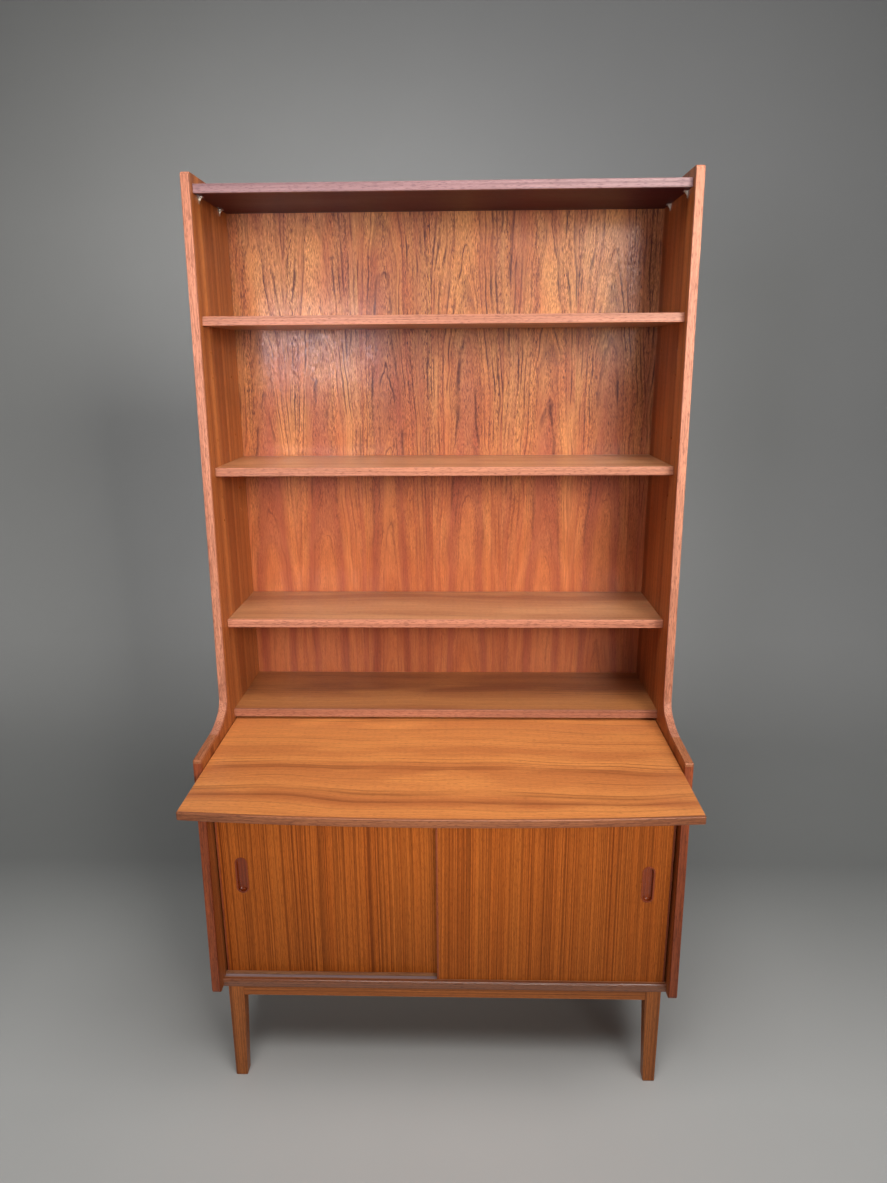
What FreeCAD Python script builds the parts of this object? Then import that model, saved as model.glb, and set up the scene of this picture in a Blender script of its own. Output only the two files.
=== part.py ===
import FreeCAD, Part
import math
import os

# Secretary desk: shelves above, a pull-out writing plate and a cabinet with two sliding doors.
# Millimetres. +X is to the right seen from the front, +Y is towards the back, +Z is up.
# The origin is on the floor, in the middle of the footprint with the writing plate pulled out.

V = FreeCAD.Vector

# ---- driving dimensions ----
overall_width = 1000.0
overall_height = 1916.0
overall_depth = 670.0
side_thickness = 17.0
lipping = 7.0
edge_radius = 1.2

# two places this close count as the same
same_place = 0.01

back_y = overall_depth / 2
inner_half = overall_width / 2 - side_thickness

# side panel outline
front_lean = math.radians(2.1)
crook_y = 37.0
crook_z = 800.0
lower_front_y = -157.0
lower_front_z = 785.0
side_bottom = 242.0
crook_run = 84.0
crook_wide_radius = 150.0
crook_tight_radius = 35.0
arm_nose_radius = 3.5
arm_joint_z = 785.5
top_corner_radius = 9.0
bottom_corner_radius = 14.0

# back panels in their rebates
back_thickness = 6.0
rebate_depth = 8.0
rebate_width = 8.0
back_face = back_y - rebate_depth
back_split = 786.0
back_top = 1895.0
back_gap = 0.5

# boards between the sides
board_fit = 0.5
shelf_thickness = 18.0
shelf_back = 326.0
shelf_front = 93.0
upper_shelf_front = 88.0
top_board_front = 95.5
top_board_top = 1897.0
top_board_thickness = 17.0
upper_shelf_top = 1652.0
middle_shelf_top = 1347.0
lower_shelf_top = 1010.0
desk_shelf_top = 795.5
desk_shelf_front = 89.5

# shelf pins, top brackets and their holes
support_rows = (130.5, 270.5)
spare_hole_heights = (1228.0, 1279.5, 1402.0, 1531.0, 1582.5)
bracket_width = 12.0
bracket_height = 14.0
bracket_shoulder = 4.0
bracket_tip_radius = 2.5
bracket_thickness = 2.0
bracket_reach = 9.0
bracket_pin_drop = 6.5
pin_radius = 2.5
pin_length = 7.0
pin_fit = 0.1
pin_reach = 8.0
notch_length = 10.0

# cabinet
cabinet_front = -151.0
cabinet_bottom_top = 260.0
cabinet_top_bottom = 737.0
cabinet_top_top = 754.0
cabinet_lipping = 8.0
bottom_lip_upper_radius = 6.0
bottom_lip_lower_radius = 2.0
track_width = 14.0
track_starts = (-141.0, -122.0)
lower_track_depth = 6.5
upper_track_depth = 12.0
strip_thickness = 1.5
strip_width = 13.0
divider_thickness = 16.0
divider_front = -98.0
inner_shelf_top = 506.0
inner_shelf_thickness = 16.0
inner_shelf_front = -88.0
inner_shelf_back = 325.0
inner_support_rows = (-40.0, 270.0)

# sliding doors
door_thickness = 13.0
door_play = 0.5
door_side_gap = 3.0
door_overlap = 27.0
door_floor_gap = 0.3
door_top = 743.0
door_edge = 4.0
pull_width = 27.0
pull_height = 87.0
pull_depth = 10.0
pull_rim = 3.5
pull_floor = 1.8
pull_hollow_radius = 4.0
pull_proud = 0.6
pull_fit = 0.1
pull_centre_z = 503.5
pull_inset = 52.0

# writing plate
plate_thickness = 16.0
plate_gap = 0.3
plate_side_gap = 1.0
plate_corner_y = -316.0
plate_back = 157.5
plate_lipping = 6.0
plate_edge_radius = 1.8
plate_corner_radius = 3.0
stop_gap = 0.3
stop_rail_front = 118.0
stop_rail_depth = 16.0
stop_rail_height = 6.6
stop_rail_half = 440.0
stop_block_x = 220.0
stop_block_width = 40.0
stop_block_height = 5.0
hold_down_width = 20.0
hold_down_gap = 0.3

# base frame
leg_outer_x = 473.0
leg_front = -150.0
leg_rear = 325.0
leg_top_size = 34.0
leg_foot_size = 26.0
leg_corner = 2.0
foot_chamfer = 1.5
apron_height = 23.0
apron_thickness = 20.0
apron_setback = 1.0
block_width = 24.0
block_depth = 26.0
block_height = 20.0

# dowels
dowel_radius = 4.0
dowel_in_side = 11.0
dowel_in_board = 20.0
dowel_fit = 0.05
dowel_spare = 0.5
upper_dowel_rows = (125.0, 208.0, 290.0)
cabinet_dowel_rows = (-85.0, 110.0, 290.0)
frame_dowel_radius = 3.0
frame_dowel_half = 14.0

# screws
screw_shank = 1.5
screw_head = 3.2
screw_length = 18.0
screw_sink = 2.0
upper_screw_heights = (850.0, 1110.0, 1370.0, 1630.0, 1880.0)
lower_screw_heights = (330.0, 520.0, 700.0)
board_screw_x = (-320.0, 0.0, 320.0)
desk_screw_drop = 4.5
desk_screw_rise = 3.5
frame_screw_shank = 2.0
frame_screw_head = 4.0
frame_screw_length = 28.0
frame_screw_head_height = 2.5

plate_bottom = cabinet_top_top + plate_gap
plate_top = plate_bottom + plate_thickness
desk_shelf_bottom = desk_shelf_top - shelf_thickness
apron_bottom = side_bottom - apron_height


def box(x0, x1, y0, y1, z0, z1):
    """Block between two corners."""
    return Part.makeBox(x1 - x0, y1 - y0, z1 - z0, V(x0, y0, z0))


def rod(radius, start, direction, length):
    """Round bar from a start point along a direction."""
    return Part.makeCylinder(radius, length, start, direction)


def mirrored(shape):
    """The same piece on the other side of the middle plane."""
    return shape.mirror(V(0, 0, 0), V(1, 0, 0))


def joined(shapes):
    """Several separate solids kept as one node."""
    return Part.makeCompound(shapes)


def save(node, shape):
    """Write one node as a STEP file."""
    shape.exportStep("parts/" + node + ".step")


def edges_at(shape, y):
    """Edges with every end at the given y."""
    return [edge for edge in shape.Edges
            if all(abs(end.Y - y) < same_place for end in edge.Vertexes)]


def long_edges(shape, y, z):
    """Edges that run along X at the given y and z."""
    return [edge for edge in edges_at(shape, y)
            if all(abs(end.Z - z) < same_place for end in edge.Vertexes)]


def face_from(start, steps):
    """Face from points; a step of two points is an arc through the first to the second."""
    edges = []
    here = start
    for step in steps:
        if isinstance(step, tuple):
            middle, end = step
            edges.append(Part.Arc(here, middle, end).toShape())
        else:
            end = step
            edges.append(Part.LineSegment(here, end).toShape())
        here = end
    edges.append(Part.LineSegment(here, start).toShape())
    return Part.Face(Part.Wire(edges))


def unit(vector):
    """Copy of a vector with length one."""
    return V(vector).normalize()


def meet(first, first_way, second, second_way):
    """Crossing point of two lines in the YZ plane."""
    gap = second - first
    turn = first_way.y * second_way.z - first_way.z * second_way.y
    along = (gap.y * second_way.z - gap.z * second_way.y) / turn
    return first + first_way * along


def corner(before, point, after, radius):
    """Start, middle and end of the arc that rounds a corner."""
    back = unit(before - point)
    ahead = unit(after - point)
    half = back.getAngle(ahead) / 2
    centre = point + unit(back + ahead) * (radius / math.sin(half))
    reach = radius / math.tan(half)
    middle = centre + unit(point - centre) * radius
    return point + back * reach, middle, point + ahead * reach


def arc_middle(centre, first, second, radius):
    """Point half way round an arc."""
    return centre + unit((first - centre) + (second - centre)) * radius


def side_face(inset):
    """Side panel outline; an inset moves its front line back and leaves its corners square."""
    lean = V(0, math.sin(front_lean), math.cos(front_lean))
    lean_out = V(0, -math.cos(front_lean), math.sin(front_lean))
    arm = V(0, -math.cos(front_lean), -math.sin(front_lean))
    arm_out = V(0, -math.sin(front_lean), math.cos(front_lean))
    level = V(0, 1, 0)
    crook = V(0, crook_y, crook_z)

    # two arcs join the arm to the upper front line
    wide_start = crook + arm * crook_run
    wide_centre = wide_start + arm_out * crook_wide_radius
    tight_line = crook + lean_out * crook_tight_radius
    offset = tight_line - wide_centre
    along = offset.dot(lean)
    gap = crook_wide_radius - crook_tight_radius
    rise = -along - math.sqrt(along ** 2 - offset.dot(offset) + gap ** 2)
    tight_centre = tight_line + lean * rise
    tight_end = crook + lean * rise
    seam = wide_centre + unit(tight_centre - wide_centre) * (crook_wide_radius + inset)
    wide_start = wide_start - arm_out * inset
    tight_end = tight_end - lean_out * inset
    wide_middle = arc_middle(wide_centre, wide_start, seam, crook_wide_radius + inset)
    tight_middle = arc_middle(tight_centre, seam, tight_end, crook_tight_radius + inset)

    # straight lines
    low_front = V(0, lower_front_y, lower_front_z) - lean_out * inset
    toe = meet(low_front, lean, V(0, 0, side_bottom), level)
    nose = meet(low_front, lean, wide_start, arm)
    brow = meet(tight_end, lean, V(0, 0, overall_height), level)
    heel = V(0, back_y, side_bottom)
    crown = V(0, back_y, overall_height)

    bend = [wide_start, (wide_middle, seam), (tight_middle, tight_end)]
    if inset:
        return face_from(heel, [toe, nose] + bend + [brow, crown])
    toe_start, toe_middle, toe_end = corner(heel, toe, nose, bottom_corner_radius)
    nose_start, nose_middle, nose_end = corner(toe, nose, wide_start, arm_nose_radius)
    brow_start, brow_middle, brow_end = corner(tight_end, brow, crown, top_corner_radius)
    lower = [toe_start, (toe_middle, toe_end), nose_start, (nose_middle, nose_end)]
    upper = [brow_start, (brow_middle, brow_end), crown]
    return face_from(heel, lower + bend + upper)


def bracket(wall_x, inward, y, underside):
    """Shelf bracket: a teardrop plate on the wall, a tongue, a rib and a pin into the wall."""
    half = bracket_width / 2
    tip_z = underside - bracket_height + bracket_tip_radius
    start = V(wall_x, y - half, underside)
    steps = [
        V(wall_x, y - half, underside - bracket_shoulder),
        V(wall_x, y - bracket_tip_radius, tip_z),
        (V(wall_x, y, underside - bracket_height), V(wall_x, y + bracket_tip_radius, tip_z)),
        V(wall_x, y + half, underside - bracket_shoulder),
        V(wall_x, y + half, underside),
    ]
    plate = face_from(start, steps).extrude(V(inward * bracket_thickness, 0, 0))
    x0, x1 = sorted((wall_x, wall_x + inward * bracket_reach))
    tongue = box(x0, x1, y - half, y + half, underside - bracket_thickness, underside)
    rib_y = y - bracket_thickness / 2
    rib_steps = [V(wall_x + inward * bracket_reach, rib_y, underside), V(wall_x, rib_y, tip_z)]
    rib = face_from(V(wall_x, rib_y, underside), rib_steps).extrude(V(0, bracket_thickness, 0))
    pin = rod(pin_radius, V(wall_x, y, underside - bracket_pin_drop), V(-inward, 0, 0), pin_length)
    return plate.fuse([tongue, rib, pin]).removeSplitter()


def shelf_pin(wall_x, inward, y, underside):
    """Plain round pin, half in the wall and half in a notch under the shelf."""
    start = V(wall_x - inward * pin_length, y, underside + pin_radius)
    return rod(pin_radius, start, V(inward, 0, 0), pin_length + pin_reach)


def pin_hole(wall_x, outward, y, z):
    """Drilling for a pin or a bracket."""
    depth = pin_length + dowel_spare
    return rod(pin_radius + pin_fit, V(wall_x, y, z), V(outward, 0, 0), depth)


def shelf_notches(x0, x1, rows, underside):
    """Notches under both ends of a shelf that hide its pins."""
    notches = []
    half = pin_radius + pin_fit
    top = underside + 2 * pin_radius
    for y in rows:
        notches.append(box(x0, x0 + notch_length, y - half, y + half, underside, top))
        notches.append(box(x1 - notch_length, x1, y - half, y + half, underside, top))
    return notches


def board(front, back, bottom, top, front_strip, half_width, upper_round, lower_round):
    """Board core and its solid front lipping with rounded edges."""
    core = box(-half_width, half_width, front + front_strip, back, bottom, top)
    strip = box(-half_width, half_width, front, front + front_strip, bottom, top)
    strip = strip.makeFillet(upper_round, long_edges(strip, front, top))
    strip = strip.makeFillet(lower_round, long_edges(strip, front, bottom))
    return core, strip


def dowel_set(z, rows):
    """Dowels and drillings that join one board to both sides."""
    dowels = []
    holes = []
    for y in rows:
        for way in (-1, 1):
            start = V(way * (inner_half - dowel_in_board), y, z)
            direction = V(way, 0, 0)
            length = dowel_in_board + dowel_in_side
            dowels.append(rod(dowel_radius, start, direction, length))
            deep_start = start - direction * dowel_spare
            hole_length = length + 2 * dowel_spare
            holes.append(rod(dowel_radius + dowel_fit, deep_start, direction, hole_length))
    return dowels, holes


def obround(width, height, depth, x, y, z):
    """Upright bar with round ends, its front face at y and its depth towards the back."""
    radius = width / 2
    reach = height / 2 - radius
    middle = box(x - radius, x + radius, y, y + depth, z - reach, z + reach)
    low = rod(radius, V(x, y, z - reach), V(0, 1, 0), depth)
    high = rod(radius, V(x, y, z + reach), V(0, 1, 0), depth)
    return middle.fuse([low, high]).removeSplitter()


def door(x0, x1, face_y, pull_x):
    """Door core, its two upright edge strips and its finger pull."""
    bottom = cabinet_bottom_top - lower_track_depth + strip_thickness + door_floor_gap
    core = box(x0 + door_edge, x1 - door_edge, face_y, face_y + door_thickness, bottom, door_top)
    seat = obround(pull_width + 2 * pull_fit, pull_height + 2 * pull_fit, pull_depth + pull_fit,
                   pull_x, face_y, pull_centre_z)
    core = core.cut(seat)
    edges = []
    for start in (x0, x1 - door_edge):
        edges.append(box(start, start + door_edge, face_y, face_y + door_thickness, bottom, door_top))
    outside = obround(pull_width, pull_height, pull_depth + pull_proud,
                      pull_x, face_y - pull_proud, pull_centre_z)
    hollow = obround(pull_width - 2 * pull_rim, pull_height - 2 * pull_rim,
                     pull_depth + pull_proud - pull_floor, pull_x, face_y - pull_proud, pull_centre_z)
    hollow = hollow.makeFillet(pull_hollow_radius, edges_at(hollow, face_y + pull_depth - pull_floor))
    cup = outside.makeFillet(pull_proud / 2, edges_at(outside, face_y - pull_proud)).cut(hollow)
    return core, joined(edges), cup


def rounded_rectangle(x0, x1, y0, y1, z, radius):
    """Closed wire of a rectangle with round corners."""
    slant = radius * (1 - math.sqrt(0.5))
    edges = []
    lines = [
        (V(x0 + radius, y0, z), V(x1 - radius, y0, z)),
        (V(x1, y0 + radius, z), V(x1, y1 - radius, z)),
        (V(x1 - radius, y1, z), V(x0 + radius, y1, z)),
        (V(x0, y1 - radius, z), V(x0, y0 + radius, z)),
    ]
    middles = [
        V(x1 - slant, y0 + slant, z),
        V(x1 - slant, y1 - slant, z),
        V(x0 + slant, y1 - slant, z),
        V(x0 + slant, y0 + slant, z),
    ]
    for index, (start, end) in enumerate(lines):
        following = lines[(index + 1) % len(lines)][0]
        edges.append(Part.LineSegment(start, end).toShape())
        edges.append(Part.Arc(end, middles[index], following).toShape())
    return Part.Wire(edges)


def leg(outer_x, outer_y, inward_x, inward_y):
    """Square leg, tapered on its two inner faces below the apron."""
    sections = []
    heights = (
        (0.0, leg_foot_size, foot_chamfer),
        (foot_chamfer, leg_foot_size, 0.0),
        (apron_bottom, leg_top_size, 0.0),
        (side_bottom, leg_top_size, 0.0),
    )
    for z, size, trim in heights:
        far_x = outer_x + inward_x * size
        far_y = outer_y + inward_y * size
        x0, x1 = sorted((outer_x, far_x))
        y0, y1 = sorted((outer_y, far_y))
        sections.append(rounded_rectangle(x0 + trim, x1 - trim, y0 + trim, y1 - trim, z, leg_corner))
    return Part.makeLoft(sections, True, True)


def make_sides(dowel_holes):
    """Right side panel core and lipping; the left one is its mirror image."""
    shift = V(inner_half, 0, 0)
    panel = side_face(0.0).extrude(V(side_thickness, 0, 0))
    panel.translate(shift)
    outline = []
    for edge in panel.Edges:
        ends = edge.Vertexes
        flat = abs(ends[0].X - ends[-1].X) < same_place
        at_back = all(abs(end.Y - back_y) < same_place for end in ends)
        if flat and not at_back:
            outline.append(edge)
    panel = panel.makeFillet(edge_radius, outline)
    inner = side_face(lipping).extrude(V(side_thickness, 0, 0))
    inner.translate(shift)
    strip = panel.cut(inner)
    core = panel.common(inner)
    rebate = box(inner_half, inner_half + rebate_width, back_face, back_y, side_bottom, back_top)
    holes = [rebate]
    used_heights = [top_board_top - top_board_thickness - bracket_pin_drop]
    for top in (upper_shelf_top, middle_shelf_top, lower_shelf_top):
        used_heights.append(top - shelf_thickness + pin_radius)
    for y in support_rows:
        for z in spare_hole_heights + tuple(used_heights):
            holes.append(pin_hole(inner_half, 1, y, z))
    inner_pin_z = inner_shelf_top - inner_shelf_thickness + pin_radius
    for y in inner_support_rows:
        holes.append(pin_hole(inner_half, 1, y, inner_pin_z))
    core = core.cut(holes + dowel_holes)
    arm_joint_y = crook_y - crook_run * math.cos(front_lean)
    behind = box(inner_half, overall_width / 2, arm_joint_y, back_y, side_bottom, overall_height)
    below = box(inner_half, overall_width / 2, -overall_depth, arm_joint_y, side_bottom, arm_joint_z)
    upper_strip = strip.common(behind)
    lower_strip = strip.common(below)
    arm_strip = strip.cut([behind, below])
    return core, (("upper", upper_strip), ("arm", arm_strip), ("lower", lower_strip))


def make_plate():
    """Writing plate core and its bowed front lipping, with softened front and side edges."""
    half = inner_half - plate_side_gap
    bow = -overall_depth / 2
    slabs = []
    for inset in (0.0, plate_lipping):
        start = V(-half, plate_back, plate_bottom)
        steps = [
            V(-half, plate_corner_y + inset, plate_bottom),
            (V(0, bow + inset, plate_bottom), V(half, plate_corner_y + inset, plate_bottom)),
            V(half, plate_back, plate_bottom),
        ]
        slabs.append(face_from(start, steps).extrude(V(0, 0, plate_thickness)))
    whole, core = slabs
    strip = whole.cut(core)
    corners = [edge for edge in edges_at(strip, plate_corner_y) if edge.Length < half]
    strip = strip.makeFillet(plate_corner_radius, corners)
    front = [edge for edge in strip.Edges
             if max(end.Y for end in edge.Vertexes) < plate_corner_y + same_place
             and edge.Length > half]
    strip = strip.makeFillet(plate_edge_radius, front)
    sides = [edge for edge in core.Edges
             if edge.BoundBox.XLength < same_place and edge.BoundBox.YLength > plate_thickness]
    return core.makeFillet(plate_edge_radius, sides), strip


def back_screw(x, z):
    """Countersunk screw through a back panel."""
    face = back_face + back_thickness
    head = Part.makeCone(screw_head, screw_shank, screw_sink, V(x, face, z), V(0, -1, 0))
    shank = rod(screw_shank, V(x, face - screw_sink, z), V(0, -1, 0), screw_length - screw_sink)
    return head.fuse(shank).removeSplitter()


def frame_screw(x, y):
    """Screw up through a glue block into the cabinet bottom."""
    low = side_bottom - block_height
    head = rod(frame_screw_head, V(x, y, low), V(0, 0, 1), frame_screw_head_height)
    shank = rod(frame_screw_shank, V(x, y, low), V(0, 0, 1), frame_screw_length)
    return head.fuse(shank).removeSplitter()


os.makedirs("parts", exist_ok=True)

# ---- dowels that join the fixed boards to the sides ----
cabinet_top_middle = (cabinet_top_bottom + cabinet_top_top) / 2
cabinet_bottom_middle = (side_bottom + cabinet_bottom_top) / 2
carcass_dowels = []
dowel_holes = []
joints = (
    (desk_shelf_bottom + shelf_thickness / 2, upper_dowel_rows),
    (cabinet_top_middle, cabinet_dowel_rows),
    (cabinet_bottom_middle, cabinet_dowel_rows),
)
for dowel_z, rows in joints:
    dowels, holes = dowel_set(dowel_z, rows)
    carcass_dowels.extend(dowels)
    dowel_holes.extend(holes)
save("carcass_dowels", joined(carcass_dowels))

# ---- screws ----
board_screw_heights = (
    desk_shelf_top - desk_screw_drop,
    desk_shelf_bottom + desk_screw_rise,
    cabinet_top_middle,
    cabinet_bottom_middle,
)
screw_spots = []
for z in upper_screw_heights + lower_screw_heights:
    for way in (-1, 1):
        screw_spots.append((way * (inner_half + rebate_width / 2), z))
for z in board_screw_heights:
    for x in board_screw_x:
        screw_spots.append((x, z))
back_screws = [back_screw(x, z) for x, z in screw_spots]
save("back_screws", joined(back_screws))

block_x = leg_outer_x - leg_top_size - block_width / 2
block_front = leg_front + apron_setback + apron_thickness
block_rear = leg_rear - apron_setback - apron_thickness
screw_front_y = block_front + block_depth / 2
screw_rear_y = block_rear - block_depth / 2
frame_screws = []
for x in (-block_x, block_x):
    for y in (screw_front_y, screw_rear_y):
        frame_screws.append(frame_screw(x, y))
save("frame_screws", joined(frame_screws))

# ---- side panels ----
side_core, side_strips = make_sides(dowel_holes)
right_core = side_core.cut(back_screws)
save("side_panel_right", right_core)
save("side_panel_left", mirrored(right_core))
for name, strip in side_strips:
    save("side_lipping_" + name + "_right", strip)
    save("side_lipping_" + name + "_left", mirrored(strip))

# ---- top board on its brackets ----
board_half = inner_half - board_fit
underside = top_board_top - top_board_thickness
core, strip = board(top_board_front, shelf_back, underside, top_board_top, lipping, board_half,
                    edge_radius, edge_radius)
save("top_board", core)
save("top_board_lipping", strip)
brackets = []
for y in support_rows:
    for way in (-1, 1):
        brackets.append(bracket(way * inner_half, -way, y, underside))
save("top_board_brackets", joined(brackets))

# ---- loose shelves on hidden pins ----
loose_shelves = (
    ("upper_shelf", upper_shelf_front, upper_shelf_top),
    ("middle_shelf", shelf_front, middle_shelf_top),
    ("lower_shelf", shelf_front, lower_shelf_top),
)
for node, front, top in loose_shelves:
    underside = top - shelf_thickness
    core, strip = board(front, shelf_back, underside, top, lipping, board_half,
                        edge_radius, edge_radius)
    save(node, core.cut(shelf_notches(-board_half, board_half, support_rows, underside)))
    save(node + "_lipping", strip)
    pins = []
    for y in support_rows:
        for way in (-1, 1):
            pins.append(shelf_pin(way * inner_half, -way, y, underside))
    save(node + "_pins", joined(pins))

# ---- fixed boards ----
core, strip = board(desk_shelf_front, back_face, desk_shelf_bottom, desk_shelf_top, lipping,
                    inner_half, edge_radius, edge_radius)
save("desk_shelf", core.cut(dowel_holes + back_screws))
save("desk_shelf_lipping", strip)

core, strip = board(cabinet_front, back_face, cabinet_top_bottom, cabinet_top_top, cabinet_lipping,
                    inner_half, edge_radius, edge_radius)
tracks = []
for start in track_starts:
    tracks.append(box(-inner_half, inner_half, start, start + track_width,
                      cabinet_top_bottom, cabinet_top_bottom + upper_track_depth))
save("cabinet_top", core.cut(tracks + dowel_holes + back_screws))
save("cabinet_top_lipping", strip)

core, strip = board(cabinet_front, back_face, side_bottom, cabinet_bottom_top, cabinet_lipping,
                    inner_half, bottom_lip_upper_radius, bottom_lip_lower_radius)
tracks = []
track_floor = cabinet_bottom_top - lower_track_depth
for start in track_starts:
    tracks.append(box(-inner_half, inner_half, start, start + track_width,
                      track_floor, cabinet_bottom_top))
save("cabinet_bottom", core.cut(tracks + dowel_holes + back_screws + frame_screws))
save("cabinet_bottom_lipping", strip)

# ---- running strips in the lower tracks ----
strip_margin = (track_width - strip_width) / 2
for node, start in zip(("track_strip_front", "track_strip_rear"), track_starts):
    save(node, box(-inner_half, inner_half, start + strip_margin, start + track_width - strip_margin,
                   track_floor, track_floor + strip_thickness))

# ---- back panels ----
panel_half = inner_half + rebate_width - back_gap
panel_end = back_face + back_thickness
upper_back = box(-panel_half, panel_half, back_face, panel_end,
                 back_split + back_gap, back_top - back_gap)
lower_back = box(-panel_half, panel_half, back_face, panel_end,
                 side_bottom + back_gap, back_split - back_gap)
save("upper_back_panel", upper_back.cut(back_screws))
save("lower_back_panel", lower_back.cut(back_screws))

# ---- inside the cabinet ----
divider_half = divider_thickness / 2
divider = box(-divider_half, divider_half, divider_front, back_face,
              cabinet_bottom_top, cabinet_top_bottom)
inner_underside = inner_shelf_top - inner_shelf_thickness
divider_holes = []
inner_pins = []
for y in inner_support_rows:
    for way in (-1, 1):
        divider_holes.append(pin_hole(way * divider_half, -way, y, inner_underside + pin_radius))
        inner_pins.append(shelf_pin(way * divider_half, way, y, inner_underside))
        inner_pins.append(shelf_pin(way * inner_half, -way, y, inner_underside))
save("cabinet_divider", divider.cut(divider_holes))
inner_left = divider_half + board_fit
inner_right = inner_half - board_fit
inner_shelf = box(inner_left, inner_right, inner_shelf_front, inner_shelf_back,
                  inner_underside, inner_shelf_top)
notches = shelf_notches(inner_left, inner_right, inner_support_rows, inner_underside)
inner_shelf = inner_shelf.cut(notches)
save("cabinet_shelf_right", inner_shelf)
save("cabinet_shelf_left", mirrored(inner_shelf))
save("cabinet_shelf_pins", joined(inner_pins))

# ---- writing plate and its guides ----
plate_core, plate_strip = make_plate()
save("writing_plate", plate_core)
save("writing_plate_lipping", plate_strip)
stop_blocks = []
stop_rail_back = stop_rail_front + stop_rail_depth
for way in (-1, 1):
    centre = way * stop_block_x
    stop_blocks.append(box(centre - stop_block_width / 2, centre + stop_block_width / 2,
                           stop_rail_back + stop_gap, plate_back,
                           plate_top, plate_top + stop_block_height))
save("plate_stop_blocks", joined(stop_blocks))
save("plate_stop_rail", box(-stop_rail_half, stop_rail_half, stop_rail_front, stop_rail_back,
                            desk_shelf_bottom - stop_rail_height, desk_shelf_bottom))
hold_down = box(inner_half - hold_down_width, inner_half, stop_rail_front, back_face,
                plate_top + hold_down_gap, desk_shelf_bottom)
save("plate_hold_down_rails", joined([hold_down, mirrored(hold_down)]))

# ---- sliding doors ----
door_half = inner_half - door_side_gap
lap = door_overlap / 2
pull_x = inner_half - pull_inset
doors = (
    ("left", -door_half, lap, track_starts[1] + door_play, -pull_x),
    ("right", -lap, door_half, track_starts[0] + door_play, pull_x),
)
for name, x0, x1, face_y, handle_x in doors:
    core, edges, cup = door(x0, x1, face_y, handle_x)
    save("door_" + name, core)
    save("door_edges_" + name, edges)
    save("pull_" + name, cup)

# ---- base frame ----
dowel_z = side_bottom - apron_height / 2
front_centre = leg_front + leg_top_size / 2
rear_centre = leg_rear - leg_top_size / 2
side_centre = leg_outer_x - apron_setback - apron_thickness / 2
front_apron_centre = leg_front + apron_setback + apron_thickness / 2
rear_apron_centre = leg_rear - apron_setback - apron_thickness / 2
leg_inner_x = leg_outer_x - leg_top_size
frame_joints = []
for way in (-1, 1):
    for y in (front_apron_centre, rear_apron_centre):
        frame_joints.append((V(way * leg_inner_x, y, dowel_z), V(1, 0, 0)))
    for y in (leg_front + leg_top_size, leg_rear - leg_top_size):
        frame_joints.append((V(way * side_centre, y, dowel_z), V(0, 1, 0)))
frame_dowels = []
frame_holes = []
for middle, direction in frame_joints:
    start = middle - direction * frame_dowel_half
    frame_dowels.append(rod(frame_dowel_radius, start, direction, 2 * frame_dowel_half))
    start = start - direction * dowel_spare
    frame_holes.append(rod(frame_dowel_radius + dowel_fit, start, direction,
                           2 * (frame_dowel_half + dowel_spare)))
save("frame_dowels", joined(frame_dowels))

corners = (
    ("front_left", -leg_outer_x, leg_front, 1, 1),
    ("front_right", leg_outer_x, leg_front, -1, 1),
    ("rear_left", -leg_outer_x, leg_rear, 1, -1),
    ("rear_right", leg_outer_x, leg_rear, -1, -1),
)
for name, x, y, inward_x, inward_y in corners:
    save("leg_" + name, leg(x, y, inward_x, inward_y).cut(frame_holes))

front_apron = box(-leg_inner_x, leg_inner_x, leg_front + apron_setback,
                  leg_front + apron_setback + apron_thickness, apron_bottom, side_bottom)
front_apron = front_apron.makeFillet(edge_radius, long_edges(front_apron, leg_front + apron_setback,
                                                             apron_bottom))
rear_apron = box(-leg_inner_x, leg_inner_x, leg_rear - apron_setback - apron_thickness,
                 leg_rear - apron_setback, apron_bottom, side_bottom)
side_apron = box(leg_outer_x - apron_setback - apron_thickness, leg_outer_x - apron_setback,
                 leg_front + leg_top_size, leg_rear - leg_top_size, apron_bottom, side_bottom)
save("apron_front", front_apron.cut(frame_holes))
save("apron_rear", rear_apron.cut(frame_holes))
save("apron_right", side_apron.cut(frame_holes))
save("apron_left", mirrored(side_apron.cut(frame_holes)))

blocks = []
for way in (-1, 1):
    x0, x1 = sorted((way * leg_inner_x, way * (leg_inner_x - block_width)))
    for y in (block_front, block_rear - block_depth):
        blocks.append(box(x0, x1, y, y + block_depth, side_bottom - block_height, side_bottom))
save("glue_blocks", joined([block.cut(frame_screws) for block in blocks]))
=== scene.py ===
import math
import bpy
from mathutils import Matrix, Vector

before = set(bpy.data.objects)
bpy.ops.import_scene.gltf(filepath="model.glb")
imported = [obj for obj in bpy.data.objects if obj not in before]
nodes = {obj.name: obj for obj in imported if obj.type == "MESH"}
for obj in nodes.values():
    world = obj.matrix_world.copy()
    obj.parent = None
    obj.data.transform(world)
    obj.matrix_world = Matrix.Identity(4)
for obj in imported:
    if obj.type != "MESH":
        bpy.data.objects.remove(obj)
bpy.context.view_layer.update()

# Looks of a teak secretary desk: oiled veneer whose grain follows each board, solid lippings,
# nickel shelf brackets, running strips, soft studio light and the camera.

# ---- camera, in the frame of the furniture ----
CAMERA_PLACE = Vector((0.0472, -1.6260, 1.5599))
CAMERA_YAW = math.radians(-1.575)
CAMERA_PITCH = math.radians(-15.724)
CAMERA_ROLL = math.radians(-0.394)
SENSOR_HEIGHT = 36.0
FOCAL_LENGTH = 24.775

# ---- faint even light from all around ----
AIR_COLOUR = (0.86, 0.88, 0.92, 1.0)
AIR_STRENGTH = 0.05

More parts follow.
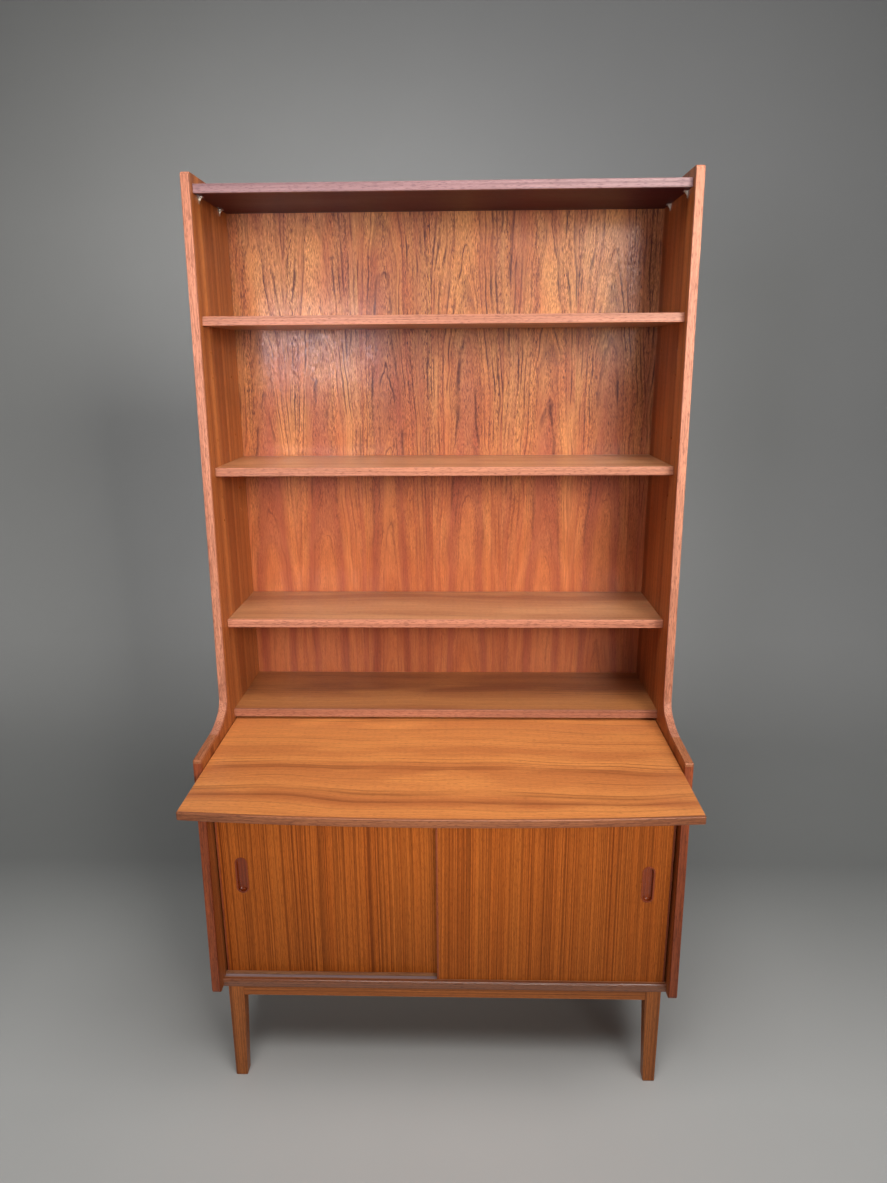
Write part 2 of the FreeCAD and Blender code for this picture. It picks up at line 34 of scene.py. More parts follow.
# ---- wood colours, linear: light wood, darker wood and pores ----
DOOR_TEAK = ((0.61, 0.163, 0.025), (0.51, 0.118, 0.016), (0.095, 0.016, 0.004))
SIDE_TEAK = ((0.56, 0.185, 0.050), (0.26, 0.060, 0.014), (0.090, 0.017, 0.006))
BOARD_TEAK = ((0.56, 0.285, 0.130), (0.32, 0.120, 0.055), (0.110, 0.030, 0.016))
# partly the desk shelf's own darker wood, partly painted shade from the shelf above it
DESK_TONE_AND_SHADE_TEAK = ((0.47, 0.190, 0.062), (0.23, 0.070, 0.028), (0.085, 0.023, 0.012))
# painted shade: the top board's underside colour is dark and purplish because it lies in shade; the next
# palette is the plain colour of its top face
TOP_UNDERSIDE_SHADE_TEAK = ((0.085, 0.015, 0.025), (0.058, 0.010, 0.017), (0.028, 0.004, 0.007))
TOP_FACE_TEAK = ((0.38, 0.160, 0.066), (0.20, 0.070, 0.030), (0.085, 0.023, 0.012))
PLATE_TEAK = ((0.75, 0.285, 0.080), (0.48, 0.143, 0.044), (0.130, 0.031, 0.012))
BACK_TEAK = ((0.60, 0.238, 0.088), (0.34, 0.098, 0.062), (0.080, 0.020, 0.020))
EDGE_TEAK = ((0.53, 0.215, 0.120), (0.38, 0.140, 0.076), (0.130, 0.038, 0.023))
# painted highlight: a lighter copy of the edge colour that stands for sheen on the upright lippings and
# the lower shelf's lipping
HIGHLIGHT_EDGE_TEAK = ((0.66, 0.280, 0.165), (0.48, 0.180, 0.105), (0.150, 0.045, 0.028))
# painted shade and painted reflection: a darker edge colour with a bluish lavender tint, for the top
# board's front lipping
SHADE_AND_REFLECTION_TEAK = ((0.34, 0.195, 0.195), (0.24, 0.125, 0.125), (0.080, 0.032, 0.032))
DARK_EDGE_TEAK = ((0.42, 0.097, 0.032), (0.27, 0.057, 0.019), (0.080, 0.016, 0.007))
ARM_TEAK = ((0.38, 0.135, 0.056), (0.26, 0.082, 0.032), (0.085, 0.022, 0.010))
ARM_TOP_TEAK = ((0.48, 0.170, 0.071), (0.33, 0.104, 0.041), (0.105, 0.028, 0.013))
PULL_TEAK = ((0.38, 0.066, 0.010), (0.27, 0.040, 0.007), (0.075, 0.011, 0.003))
FRAME_TEAK = ((0.61, 0.186, 0.040), (0.42, 0.112, 0.023), (0.098, 0.023, 0.007))
BEECH = ((0.62, 0.430, 0.250), (0.54, 0.350, 0.190), (0.340, 0.190, 0.100))

# ---- sizes of grain features in metres: across, through and along the fibres ----
FIBRE = (0.0012, 0.0012, 0.045)
FLECK = (0.0015, 0.0015, 0.008)
SHORT_PORE = (0.0009, 0.0009, 0.012)
EDGE_PORE = (0.0017, 0.0017, 0.012)
LONG_PORE = (0.0015, 0.0015, 0.013)
WEAR = (0.110, 0.110, 0.300)

# ---- ramps shared by the woods: (position, value) stops ----
FIBRE_TONES = ((0.25, 0.80), (0.75, 1.15))
PORE_STOPS = ((0.54, 0.0), (0.66, 1.0))
RING_LINE_STOPS = ((0.10, 1.0), (0.75, 0.0))
FLOW_LINE_STOPS = ((0.10, 1.0), (0.70, 0.0))

# ---- sheen and relief shared by the woods ----
WEAR_SHEEN = 0.16
PORE_SHEEN = 0.14
FIBRE_HEIGHT = 0.4
PORE_DEPTH = 0.6
WOOD_BUMP = 0.4
COAT_ROUGHNESS = 0.14

# turns the distance from a dark line, in metres, into the place on its ramp
LINE_SHARPNESS = 300.0


class Shader:
    """A material and short calls that add and join its nodes."""

    def __init__(self, name):
        self.material = bpy.data.materials.new(name)
        self.material.use_nodes = True
        self.tree = self.material.node_tree
        self.tree.nodes.clear()
        self.output = self.tree.nodes.new("ShaderNodeOutputMaterial")
        self.surface = self.tree.nodes.new("ShaderNodeBsdfPrincipled")
        self.join(self.surface.outputs["BSDF"], self.output.inputs["Surface"])
        coordinates = self.tree.nodes.new("ShaderNodeTexCoord")
        self.place = coordinates.outputs["Object"]

    def join(self, source, target):
        """Link two sockets, or set a plain value."""
        if isinstance(source, bpy.types.NodeSocket):
            self.tree.links.new(source, target)
        else:
            target.default_value = source

    def math(self, operation, first, second=0.0, third=0.0):
        """One arithmetic node."""
        node = self.tree.nodes.new("ShaderNodeMath")
        node.operation = operation
        for socket, value in zip(node.inputs, (first, second, third)):
            self.join(value, socket)
        return node.outputs[0]

    def add(self, *values):
        """Sum of several numbers."""
        total = values[0]
        for value in values[1:]:
            total = self.math("ADD", total, value)
        return total

    def times(self, first, second):
        """Product of two numbers."""
        return self.math("MULTIPLY", first, second)

    def split(self, vector):
        """The three parts of a vector."""
        node = self.tree.nodes.new("ShaderNodeSeparateXYZ")
        self.join(vector, node.inputs[0])
        return node.outputs

    def combine(self, x, y, z):
        """A vector from three numbers."""
        node = self.tree.nodes.new("ShaderNodeCombineXYZ")
        for socket, value in zip(node.inputs, (x, y, z)):
            self.join(value, socket)
        return node.outputs[0]

    def cells(self, parts, sizes, seed):
        """A place counted in cells of the given sizes, moved by the seed."""
        counted = [self.math("MULTIPLY_ADD", part, 1.0 / size, seed) for part, size in zip(parts, sizes)]
        return self.combine(*counted)

    def noise(self, vector, detail=2.0, roughness=0.5):
        """Smooth noise from 0 to 1, one cell per unit."""
        node = self.tree.nodes.new("ShaderNodeTexNoise")
        self.join(vector, node.inputs["Vector"])
        node.inputs["Scale"].default_value = 1.0
        node.inputs["Detail"].default_value = detail
        node.inputs["Roughness"].default_value = roughness
        return node.outputs["Fac"]

    def bands(self, value, width, seed, detail=2.0):
        """Noise that changes only with one number."""
        return self.noise(self.combine(self.times(value, 1.0 / width), seed, 0.0), detail)

    def drift(self, parts, sizes, reach, seed):
        """Slow wander to either side, in metres."""
        wander = self.noise(self.cells(parts, sizes, seed))
        return self.math("MULTIPLY_ADD", wander, 2.0 * reach, -reach)

    def ramp(self, factor, stops):
        """Blend between (position, value or colour) stops."""
        node = self.tree.nodes.new("ShaderNodeValToRGB")
        self.join(factor, node.inputs["Fac"])
        elements = node.color_ramp.elements
        while len(elements) < len(stops):
            elements.new(0.5)
        for element, (position, value) in zip(elements, stops):
            element.position = position
            colour = value if isinstance(value, tuple) else (value, value, value)
            element.color = colour + (1.0,)
        return node.outputs["Color"]

    def mix(self, factor, first, second, mode="MIX"):
        """Blend two colours."""
        node = self.tree.nodes.new("ShaderNodeMix")
        node.data_type = "RGBA"
        node.blend_type = mode
        sockets = {socket.identifier: socket for socket in node.inputs}
        self.join(factor, sockets["Factor_Float"])
        for value, name in ((first, "A_Color"), (second, "B_Color")):
            if isinstance(value, tuple):
                value = value + (1.0,)
            self.join(value, sockets[name])
        return next(socket for socket in node.outputs if socket.identifier == "Result_Color")

    def bump(self, height, strength, distance):
        """Fine relief from a height."""
        node = self.tree.nodes.new("ShaderNodeBump")
        self.join(height, node.inputs["Height"])
        node.inputs["Strength"].default_value = strength
        node.inputs["Distance"].default_value = distance
        self.join(node.outputs["Normal"], self.surface.inputs["Normal"])

    def set(self, **values):
        """Values or links on the surface shader, by socket name with _ for a space."""
        for name, value in values.items():
            if isinstance(value, tuple):
                value = value + (1.0,)
            self.join(value, self.surface.inputs[name.replace("_", " ")])


def grain_parts(shader, grain):
    """Coordinates across, through and along the fibres."""
    x, y, z = shader.split(shader.place)
    if grain == "upright_front":
        return x, y, z
    if grain == "upright_side":
        return y, x, z
    if grain == "level":
        return y, z, x
    return x, z, y


def finish_wood(shader, parts, colour, dark, pores, seed, roughness=0.38, gloss=0.3, coat=0.0,
                relief=0.0005):
    """Fibres, uneven sheen and relief that every wooden surface shares, with its own pores."""
    fibre = shader.noise(shader.cells(parts, FIBRE, seed), detail=3.0, roughness=0.6)
    wear = shader.noise(shader.cells(parts, WEAR, seed), detail=3.0)
    colour = shader.mix(1.0, colour, shader.ramp(fibre, FIBRE_TONES), "MULTIPLY")
    colour = shader.mix(pores, colour, dark)
    sheen = shader.math("MULTIPLY_ADD", wear, WEAR_SHEEN, roughness - WEAR_SHEEN / 2.0)
    sheen = shader.math("MULTIPLY_ADD", pores, PORE_SHEEN, sheen)
    height = shader.add(shader.times(fibre, FIBRE_HEIGHT), shader.times(pores, -PORE_DEPTH))
    shader.bump(height, WOOD_BUMP, relief)
    shader.set(Base_Color=colour, Roughness=sheen, Specular_IOR_Level=gloss, Coat_Weight=coat,
               Coat_Roughness=COAT_ROUGHNESS)
    return shader.material


def open_pores(shader, parts, size, share, seed):
    """Short dark dashes along the grain."""
    pores = shader.noise(shader.cells(parts, size, seed), detail=1.0)
    return shader.times(shader.ramp(pores, PORE_STOPS), share)


def striped_wood(name, grain, colours, seed, contrast=0.5, pore=SHORT_PORE, pore_share=0.35,
                 **finish):
    """Quarter-cut wood: straight, nearly parallel dark stripes."""
    bend, reach = (0.20, 0.20, 0.70), 0.0060
    wide_size = (0.028, 0.028, 5.0)
    stripe_size = (0.0027, 0.0027, 2.0)
    hair_size = (0.0013, 0.0013, 0.8)
    hair_share = 0.65
    wide_stops = ((0.35, 0.0), (0.65, 0.8))
    gate_stops = ((0.35, 0.65), (0.60, 1.0))
    stripe_stops = ((0.47, 0.0), (0.62, 1.0))
    hair_stops = ((0.46, 0.0), (0.66, 1.0))

    shader = Shader(name)
    parts = grain_parts(shader, grain)
    across, through, along = parts
    line = shader.add(across, shader.drift(parts, bend, reach, seed))
    straight = (line, through, along)
    wide = shader.noise(shader.cells(straight, wide_size, seed))
    stripe = shader.noise(shader.cells(straight, stripe_size, seed), detail=1.0)
    hair = shader.noise(shader.cells(straight, hair_size, seed), detail=1.0)
    gate = shader.ramp(wide, gate_stops)
    stripe = shader.times(shader.ramp(stripe, stripe_stops), gate)
    hair = shader.ramp(hair, hair_stops)
    colour = shader.mix(shader.ramp(wide, wide_stops), colours[0], colours[1])
    colour = shader.mix(shader.times(stripe, contrast), colour, colours[2])
    colour = shader.mix(shader.times(hair, hair_share * contrast), colour, colours[2])
    pores = open_pores(shader, parts, pore, pore_share, seed)
    return finish_wood(shader, parts, colour, colours[2], pores, seed, **finish)


def edge_wood(name, grain, colours, seed, pore_share=0.45, **finish):
    """Solid edge pieces: softer stripes and coarser pores."""
    return striped_wood(name, grain, colours, seed, contrast=0.4, pore=EDGE_PORE,
                        pore_share=pore_share, **finish)


def flowing_wood(name, colours, seed, contrast=0.5, line_gap=0.052, upper_colours=None, level=0.0,
                 **finish):
    """Flat-cut level boards: soft bands along X with a few thin wandering dark lines.

    With upper_colours, the wood above the level has those colours instead.
    """
    bend, bend_reach = (0.32, 0.32, 0.70), 0.060
    ripple, ripple_reach = (0.06, 0.06, 0.20), 0.0050
    broad_width, soft_width = 0.060, 0.0042
    line_crowding = 3.0
    fade_size = (0.05, 0.05, 0.30)
    patch_size, patch_seed = (0.07, 0.07, 0.24), 9.0
    soft_share, pore_share = 0.6, 0.3
    broad_stops = ((0.36, 0.15), (0.64, 0.85))
    soft_stops = ((0.46, 0.0), (0.74, 1.0))
    fade_stops = ((0.40, 0.1), (0.60, 1.0))
    patch_stops = ((0.50, 0.0), (0.66, 0.75))

    shader = Shader(name)
    parts = grain_parts(shader, "level")
    if upper_colours:
        above = shader.math("GREATER_THAN", parts[1], level)
        colours = [shader.mix(above, low, high) for low, high in zip(colours, upper_colours)]
    across = parts[0]
    field = shader.add(across, shader.drift(parts, bend, bend_reach, seed),
                       shader.drift(parts, ripple, ripple_reach, seed))
    broad = shader.bands(field, broad_width, seed)
    soft = shader.bands(field, soft_width, seed, detail=3.0)
    count = shader.math("MULTIPLY_ADD", field, 1.0 / line_gap, shader.times(broad, line_crowding))
    away = shader.times(shader.math("PINGPONG", count, 0.5), line_gap)
    line = shader.ramp(shader.times(away, LINE_SHARPNESS), FLOW_LINE_STOPS)
    fade = shader.ramp(shader.noise(shader.cells(parts, fade_size, seed)), fade_stops)
    patch = shader.noise(shader.cells(parts, patch_size, seed + patch_seed))
    colour = shader.mix(shader.ramp(broad, broad_stops), colours[0], colours[1])
    colour = shader.mix(shader.ramp(patch, patch_stops), colour, colours[0])
    soft = shader.ramp(soft, soft_stops)
    colour = shader.mix(shader.times(soft, soft_share * contrast), colour, colours[2])
    colour = shader.mix(shader.times(shader.times(line, fade), contrast), colour, colours[2])
    pores = open_pores(shader, parts, SHORT_PORE, pore_share, seed)
    return finish_wood(shader, parts, colour, colours[2], pores, seed, **finish)


def arched_wood(name, colours, seed, leaf=0.166, ring_gap=0.0085, slope=0.045):
    """Veneer in upright leaves: rings cut into narrow arches, dark lines, flecks and pores.

    The lines, clouds and flecks fade out downwards, where soft wide arches take their place. Towards the
    bottom the wood is also painted darker, as shade.
    """
    # places of the leaves and of the pith behind them, in metres
    foot = 0.9
    first_leaf = 5.0 * leaf + 0.031
    leaf_shift = 0.3
    pith_middle, pith_reach = 0.025 - 0.5 * leaf, -0.05
    pith_depth = -0.030

    # wander of the rings: cell sizes and reach
    side_bend, side_reach = (0.09, 1.0, 0.30), 0.018
    depth_bend, depth_reach, depth_seed = (0.07, 1.0, 0.16), 0.008, 2.0
    ring_bend, ring_reach, ring_seed = (0.016, 1.0, 0.040), 0.0014, 5.0

    # tones of the rings and lines
    broad_width, fine_width = 0.026, 0.0030
    line_crowding = 2.5
    flat_limit, middle_limit = 0.10, 0.001
    fine_share, line_share = 0.42, 0.9
    upward_stops = ((0.15, 0.25), (0.60, 1.0))
    fade_size, fade_stops = (0.030, 0.030, 0.100), ((0.42, 0.1), (0.60, 1.0))
    broad_stops = ((0.36, 0.0), (0.64, 0.8))
    fine_stops = ((0.48, 0.0), (0.70, 1.0))
    leaf_tones = ((0.0, (0.90, 0.86, 0.84)), (1.0, (1.06, 1.08, 1.06)))
    # painted shade: darker and redder low on the back panel
    low_shade_tones = ((0.03, (0.86, 0.67, 0.65)), (0.16, (1.06, 0.84, 0.80)), (0.6, (1.0, 1.0, 1.0)))

    # tones of the clouds and soft arches
    cloud_size, cloud_seed = (0.05, 1.0, 0.24), 3.0
    cloud_tones = ((0.36, (0.84, 0.68, 0.64)), (0.64, (1.06, 1.16, 0.98)))
    arch_slope, arch_foot = 0.15, -0.105
    arch_width, arch_seed = 0.018, 4.0
    arch_tones = ((0.36, (0.89, 0.77, 0.72)), (0.62, (1.06, 1.07, 1.07)))

    # flecks, pores and the sheen on them
    streak_size, streak_seed = (0.022, 0.022, 0.90), 7.0
    streak_stops = ((0.35, 0.30), (0.62, 0.9))
    fleck_tones = ((0.38, 0.60), (0.64, 1.35))
    glint_stops = ((0.48, 0.0), (0.66, 0.40))

    shader = Shader(name)
    parts = grain_parts(shader, "upright_front")
    across, through, along = parts
    along_share = shader.math("MULTIPLY_ADD", along, 1.0, -foot)

    # every leaf is turned over from its neighbour and cut from its own height
    shifted = shader.add(across, first_leaf)
    chance = shader.tree.nodes.new("ShaderNodeTexWhiteNoise")
    chance.noise_dimensions = "1D"
    shader.join(shader.math("FLOOR", shader.times(shifted, 1.0 / leaf)), chance.inputs["W"])
    chance = chance.outputs["Value"]
    inside = shader.math("PINGPONG", shifted, leaf)
    own = (inside, chance, shader.math("MULTIPLY_ADD", chance, leaf_shift, along))

    # rings round a leaning pith behind the sheet
    pith = shader.math("MULTIPLY_ADD", chance, pith_reach, pith_middle)
    sideways = shader.add(inside, pith, shader.drift(own, side_bend, side_reach, seed))
    depth = shader.math("MULTIPLY_ADD", own[2], slope, pith_depth)
    depth = shader.add(depth, shader.drift(own, depth_bend, depth_reach, seed + depth_seed))
    ring = shader.math("SQRT", shader.add(shader.times(sideways, sideways), shader.times(depth, depth)))
    steepness = shader.math("DIVIDE", shader.math("ABSOLUTE", sideways), shader.add(ring, middle_limit))
    ring = shader.add(ring, shader.drift(own, ring_bend, ring_reach, seed + ring_seed))
    broad = shader.bands(ring, broad_width, seed)
    fine = shader.bands(ring, fine_width, seed, detail=3.0)
    upward = shader.ramp(along_share, upward_stops)

    # thin dark ring lines of even width on the sheet
    count = shader.math("MULTIPLY_ADD", ring, 1.0 / ring_gap, shader.times(broad, line_crowding))
    away = shader.times(shader.math("PINGPONG", count, 0.5), ring_gap)
    away = shader.math("DIVIDE", away, shader.add(steepness, flat_limit))
    line = shader.ramp(shader.times(away, LINE_SHARPNESS), RING_LINE_STOPS)
    fade = shader.noise(shader.cells(parts, fade_size, seed))
    fade = shader.times(shader.ramp(fade, fade_stops), upward)
    colour = shader.mix(shader.ramp(broad, broad_stops), colours[0], colours[1])
    colour = shader.mix(1.0, colour, shader.ramp(chance, leaf_tones), "MULTIPLY")
    # painted shade: the back panel darkens towards the bottom
    colour = shader.mix(1.0, colour, shader.ramp(along_share, low_shade_tones), "MULTIPLY")
    fine = shader.ramp(fine, fine_stops)
    colour = shader.mix(shader.times(shader.times(fine, upward), fine_share), colour, colours[2])
    colour = shader.mix(shader.times(shader.times(line, fade), line_share), colour, colours[2])
    cloud = shader.noise(shader.cells(own, cloud_size, seed + cloud_seed))
    cloud = shader.ramp(cloud, cloud_tones)
    colour = shader.mix(upward, colour, shader.mix(1.0, colour, cloud, "MULTIPLY"))

    # soft wide arches, clearest on the plainer wood low down
    rise = shader.math("MULTIPLY_ADD", own[2], arch_slope, arch_foot)
    arch = shader.math("SQRT", shader.add(shader.times(sideways, sideways), shader.times(rise, rise)))
    arch = shader.bands(arch, arch_width, seed + arch_seed, detail=1.0)
    arch = shader.ramp(arch, arch_tones)
    lower = shader.math("SUBTRACT", 1.0, upward)
    colour = shader.mix(lower, colour, shader.mix(1.0, colour, arch, "MULTIPLY"))

    # coarse flecks, thicker towards the top and in some streaks
    streak = shader.noise(shader.cells(parts, streak_size, seed + streak_seed))
    share = shader.times(upward, shader.ramp(streak, streak_stops))
    fleck = shader.noise(shader.cells(parts, FLECK, seed), detail=2.0)
    fleck_tone = shader.ramp(fleck, fleck_tones)
    colour = shader.mix(share, colour, shader.mix(1.0, colour, fleck_tone, "MULTIPLY"))
    pores = open_pores(shader, parts, LONG_PORE, share, seed)
    glint = shader.ramp(fleck, glint_stops)
    return finish_wood(shader, parts, colour, colours[2], pores, seed, roughness=0.33, gloss=0.20,
                       coat=glint, relief=0.0012)


def metal(name, colour, roughness):
    """Satin plated metal with faint brushing and handling marks."""
    brush_size = (0.0010, 0.0010, 0.0010)
    mark_size = (0.015, 0.015, 0.015)
    dull_colour = tuple(0.78 * part for part in colour)
    mark_sheen = 0.2

    shader = Shader(name)
    parts = shader.split(shader.place)
    brushed = shader.noise(shader.cells(parts, brush_size, 0.0), detail=3.0, roughness=0.6)
    marks = shader.noise(shader.cells(parts, mark_size, 0.0), detail=3.0, roughness=0.6)
    tone = shader.ramp(marks, ((0.3, dull_colour), (0.7, colour)))
    sheen = shader.math("MULTIPLY_ADD", marks, mark_sheen, roughness)
    shader.bump(brushed, strength=0.12, distance=0.0002)
    shader.set(Base_Color=tone, Metallic=1.0, Roughness=sheen)
    return shader.material


def strip_material(name):
    """Smooth pale running strip, dulled along its length by the doors."""
    rub_size = (0.160, 0.0025, 0.160)
    rub_tones = ((0.3, (0.30, 0.22, 0.24)), (0.7, (0.50, 0.40, 0.43)))
    rub_sheen = 0.7

    shader = Shader(name)
    parts = shader.split(shader.place)
    rub = shader.noise(shader.cells(parts, rub_size, 0.0), detail=4.0, roughness=0.6)
    shader.bump(rub, strength=0.15, distance=0.0003)
    shader.set(Base_Color=shader.ramp(rub, rub_tones), Roughness=shader.times(rub, rub_sheen))
    return shader.material


def paper_material(name, floor_tone, bend_shade_tone, wall_tone):
    """Matt studio paper, pale on the floor in front and greyer behind, darkest at the bend under and
    behind the desk as painted shade, with a faint mottle.
    """
    depth_scale, depth_shift = 0.25, 0.25
    mottle_size, mottle_stops = (0.6, 0.6, 0.6), ((0.3, 0.97), (0.7, 1.0))
    fibre_size = (0.003, 0.003, 0.003)

    shader = Shader(name)
    parts = shader.split(shader.place)
    mottle = shader.noise(shader.cells(parts, mottle_size, 0.0), detail=4.0, roughness=0.6)
    # painted shade: the darkest tone lies at the bend, under and behind the desk
    tone = shader.ramp(shader.math("MULTIPLY_ADD", parts[1], depth_scale, depth_shift),
                       ((0.20, floor_tone), (0.42, bend_shade_tone), (0.80, wall_tone)))
    tone = shader.mix(1.0, tone, shader.ramp(mottle, mottle_stops), "MULTIPLY")
    fibre = shader.noise(shader.cells(parts, fibre_size, 0.0))
    shader.bump(fibre, strength=0.05, distance=0.001)
    shader.set(Base_Color=tone, Roughness=0.85)
    return shader.material


def paint(material, *names):
    """Give a material to CAD nodes."""
    for name in names:
        slots = nodes[name].data.materials
        slots.clear()
        slots.append(material)


def middle_height(name):
    """Height of the middle of a CAD node."""
    corners = [nodes[name].matrix_world @ Vector(corner) for corner in nodes[name].bound_box]
    return sum(corner.z for corner in corners) / len(corners)


def camera_rotation():
    """Rotation from yaw, pitch and roll."""
    forward = Vector((math.sin(CAMERA_YAW) * math.cos(CAMERA_PITCH),
                      math.cos(CAMERA_YAW) * math.cos(CAMERA_PITCH),
                      math.sin(CAMERA_PITCH)))
    right = Vector((math.cos(CAMERA_YAW), -math.sin(CAMERA_YAW), 0.0))
    up = right.cross(forward)
    turned_right = right * math.cos(CAMERA_ROLL) + up * math.sin(CAMERA_ROLL)
    turned_up = up * math.cos(CAMERA_ROLL) - right * math.sin(CAMERA_ROLL)
    return Matrix((turned_right, turned_up, -forward)).transposed().to_4x4()


def add_camera():
    """The camera, from its place, rotation and lens."""
    data = bpy.data.cameras.new("camera")
    data.sensor_fit = "VERTICAL"
    data.sensor_height = SENSOR_HEIGHT
    data.lens = FOCAL_LENGTH
    camera = bpy.data.objects.new("camera", data)
    camera.matrix_world = Matrix.Translation(CAMERA_PLACE) @ camera_rotation()
    bpy.context.collection.objects.link(camera)
    bpy.context.scene.camera = camera


def add_area_light(name, place, target, size, power, colour, spread):
    """Soft rectangular light aimed at a point; spread is the full angle it reaches."""
    data = bpy.data.lights.new(name, "AREA")
    data.shape = "RECTANGLE"
    data.size, data.size_y = size
    data.energy = power
    data.color = colour
    data.spread = math.radians(spread)
    lamp = bpy.data.objects.new(name, data)
    direction = Vector(target) - Vector(place)
    turn = direction.to_track_quat("-Z", "Y")
    lamp.matrix_world = Matrix.Translation(place) @ turn.to_matrix().to_4x4()
    bpy.context.collection.objects.link(lamp)


def add_paper():
    """Pale floor that curves up into a grey backdrop."""
    half_width = 6.0
    front = -5.0
    wall = 2.7
    height = 5.0
    curve = 1.2
    steps = 16
    profile = [(front, 0.0), (wall - curve, 0.0)]
    for index in range(1, steps + 1):
        angle = index / steps * math.pi / 2
        profile.append((wall - curve + curve * math.sin(angle), curve - curve * math.cos(angle)))
    profile.append((wall, height))
    points = []
    for depth, level in profile:
        points.append((-half_width, depth, level))
        points.append((half_width, depth, level))
    faces = []
    for index in range(len(profile) - 1):
        first = 2 * index
        faces.append((first, first + 1, first + 3, first + 2))
    mesh = bpy.data.meshes.new("studio_paper")
    mesh.from_pydata(points, [], faces)
    # the dark bend tone is painted shade under and behind the desk
    mesh.materials.append(paper_material("studio_paper", floor_tone=(0.60, 0.61, 0.60),
                                         bend_shade_tone=(0.28, 0.29, 0.285),
                                         wall_tone=(0.54, 0.55, 0.545)))
    for polygon in mesh.polygons:
        polygon.use_smooth = True
    paper = bpy.data.objects.new("studio_paper", mesh)
    bpy.context.collection.objects.link(paper)


def add_light():
    """Key light from the front right, small ones by the camera and for the doors, a soft one above."""
    warm = (1.0, 0.97, 0.93)
    add_area_light("key_light", place=(1.20, -2.2, 2.05), target=(-0.05, 0.3, 1.46),
                   size=(1.0, 1.0), power=9.7, colour=warm, spread=54.0)
    add_area_light("camera_light", place=(-0.7, -2.0, 1.66), target=(-0.2, 0.3, 1.6),
                   size=(0.6, 0.4), power=2.4, colour=(0.90, 0.88, 1.0), spread=60.0)
    add_area_light("door_light", place=(0.2, -1.9, 0.85), target=(0.0, -0.1, 0.53),
                   size=(1.0, 0.2), power=0.5, colour=warm, spread=24.0)
    add_area_light("top_light", place=(0.3, -1.35, 3.6), target=(0.0, -0.45, 0.6),
                   size=(2.6, 1.4), power=90.0, colour=(1.0, 0.98, 0.96), spread=180.0)
    world = bpy.data.worlds.new("studio_air")
    world.use_nodes = True
    air = world.node_tree.nodes["Background"]
    air.inputs["Color"].default_value = AIR_COLOUR
    air.inputs["Strength"].default_value = AIR_STRENGTH
    bpy.context.scene.world = world
    bpy.context.scene.view_settings.view_transform = "Standard"


# ---- wooden boards ----
paint(striped_wood("teak_side", "upright_side", SIDE_TEAK, seed=0.37, contrast=0.45, gloss=0.2),
      "side_panel_left", "side_panel_right", "cabinet_divider")
paint(striped_wood("teak_door_left", "upright_front", DOOR_TEAK, seed=4.4, contrast=0.62, gloss=0.1),
      "door_left")
paint(striped_wood("teak_door_right", "upright_front", DOOR_TEAK, seed=6.9, contrast=0.62, gloss=0.1),
      "door_right")
paint(flowing_wood("teak_plate", PLATE_TEAK, seed=2.1, contrast=0.5, gloss=0.25), "writing_plate")
# partly own tone, partly painted shade under the shelf above
paint(flowing_wood("teak_desk_shelf", DESK_TONE_AND_SHADE_TEAK, seed=3.3, coat=0.4), "desk_shelf")
paint(flowing_wood("teak_lower_shelf", BOARD_TEAK, seed=5.8, coat=0.5),
      "lower_shelf", "cabinet_shelf_left")
paint(flowing_wood("teak_middle_shelf", BOARD_TEAK, seed=8.2, coat=0.5),
      "middle_shelf", "cabinet_shelf_right")
paint(flowing_wood("teak_upper_shelf", BOARD_TEAK, seed=9.5, coat=0.5),
      "upper_shelf", "cabinet_bottom")
# painted shade: below its middle height the board gets the dark shade colour, above it the plain top
# face colour
paint(flowing_wood("teak_top_board", TOP_UNDERSIDE_SHADE_TEAK, seed=11.7, upper_colours=TOP_FACE_TEAK, gloss=0.1,
                   level=middle_height("top_board")),
      "top_board", "cabinet_top")
paint(arched_wood("back_veneer", BACK_TEAK, seed=0.2), "upper_back_panel", "lower_back_panel")

# ---- solid lippings, edge strips and pulls ----
paint(edge_wood("teak_edge_level", "level", EDGE_TEAK, seed=5.2, pore_share=0.55),
      "upper_shelf_lipping", "middle_shelf_lipping", "desk_shelf_lipping")
# painted highlight: lighter edge colour standing for sheen
paint(edge_wood("teak_edge_lower_shelf", "level", HIGHLIGHT_EDGE_TEAK, seed=4.9, pore_share=0.55),
      "lower_shelf_lipping")
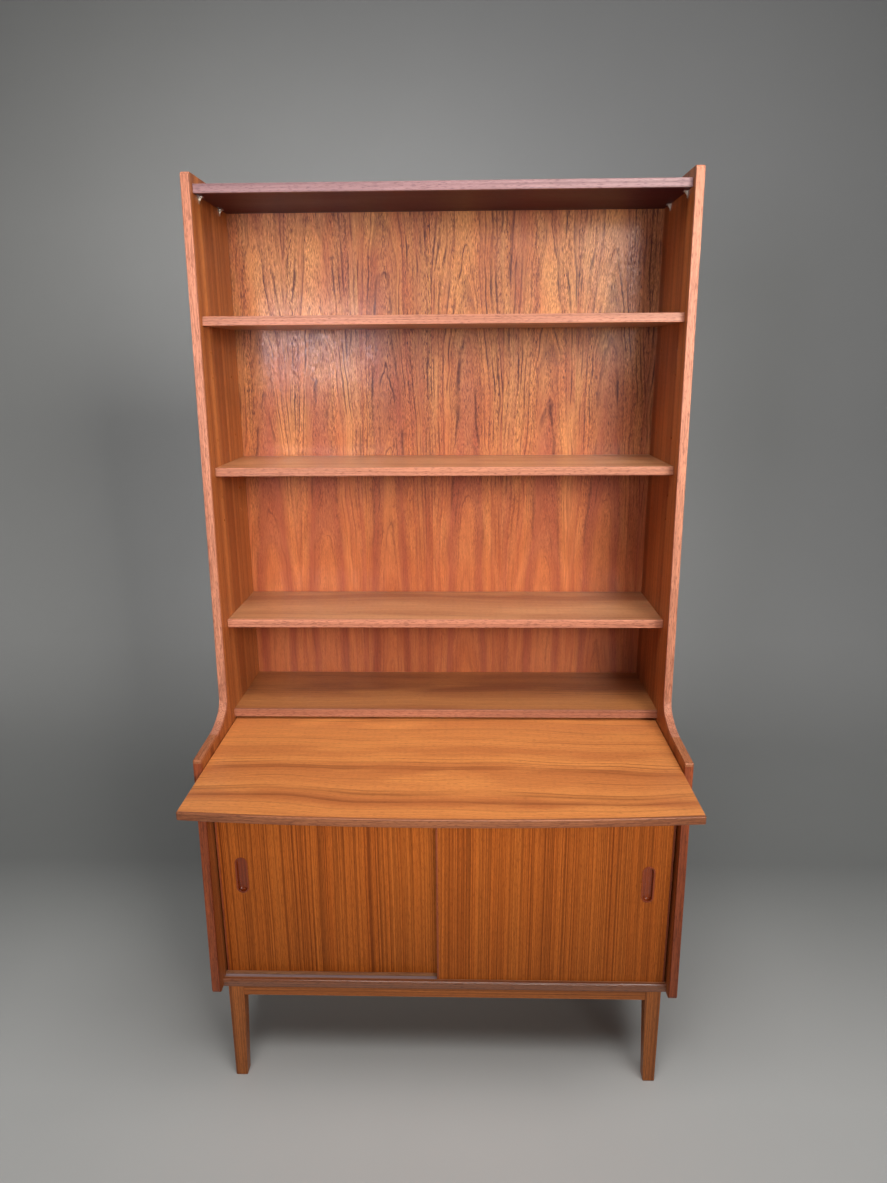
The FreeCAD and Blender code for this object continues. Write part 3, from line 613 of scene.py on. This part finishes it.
# painted shade and painted bluish reflection on the top board's front lipping
paint(edge_wood("teak_edge_shade_and_reflection", "level", SHADE_AND_REFLECTION_TEAK, seed=5.9, pore_share=0.55),
      "top_board_lipping")
paint(edge_wood("teak_edge_plate", "level", ARM_TEAK, seed=5.9, coat=0.2), "writing_plate_lipping")
paint(edge_wood("teak_edge_cabinet", "level", ARM_TEAK, seed=6.1, coat=0.9),
      "cabinet_top_lipping", "cabinet_bottom_lipping")
# painted highlight: lighter edge colour standing for sheen on the upright lippings
paint(edge_wood("teak_edge_upright", "upright_front", HIGHLIGHT_EDGE_TEAK, seed=6.3, pore_share=0.55,
                gloss=0.15),
      "side_lipping_upper_left", "side_lipping_upper_right")
paint(edge_wood("teak_edge_arm", "depth", ARM_TOP_TEAK, seed=7.1),
      "side_lipping_arm_left", "side_lipping_arm_right")
paint(edge_wood("teak_edge_lower", "upright_front", DARK_EDGE_TEAK, seed=7.9),
      "side_lipping_lower_left", "side_lipping_lower_right", "door_edges_left", "door_edges_right")
paint(striped_wood("teak_pull", "upright_front", PULL_TEAK, seed=7.7, contrast=0.4, coat=0.5,
                   roughness=0.28),
      "pull_left", "pull_right")

# ---- floor frame ----
paint(striped_wood("teak_frame_upright", "upright_front", FRAME_TEAK, seed=8.1),
      "leg_front_left", "leg_front_right", "leg_rear_left", "leg_rear_right")
paint(striped_wood("teak_frame_level", "level", FRAME_TEAK, seed=8.9), "apron_front", "apron_rear")
paint(striped_wood("teak_frame_side", "depth", FRAME_TEAK, seed=9.4), "apron_left", "apron_right")

# ---- plain inner wood, metal and strips ----
paint(striped_wood("beech", "level", BEECH, seed=3.1, contrast=0.15, pore_share=0.15, roughness=0.5),
      "glue_blocks", "plate_stop_rail", "plate_stop_blocks", "plate_hold_down_rails",
      "carcass_dowels", "frame_dowels")
paint(metal("support_metal", colour=(0.74, 0.70, 0.62), roughness=0.30),
      "top_board_brackets", "upper_shelf_pins", "middle_shelf_pins", "lower_shelf_pins",
      "cabinet_shelf_pins")
paint(metal("screw_steel", colour=(0.60, 0.58, 0.55), roughness=0.35), "back_screws", "frame_screws")
paint(strip_material("track_strip"), "track_strip_front", "track_strip_rear")

add_paper()
add_light()
add_camera()
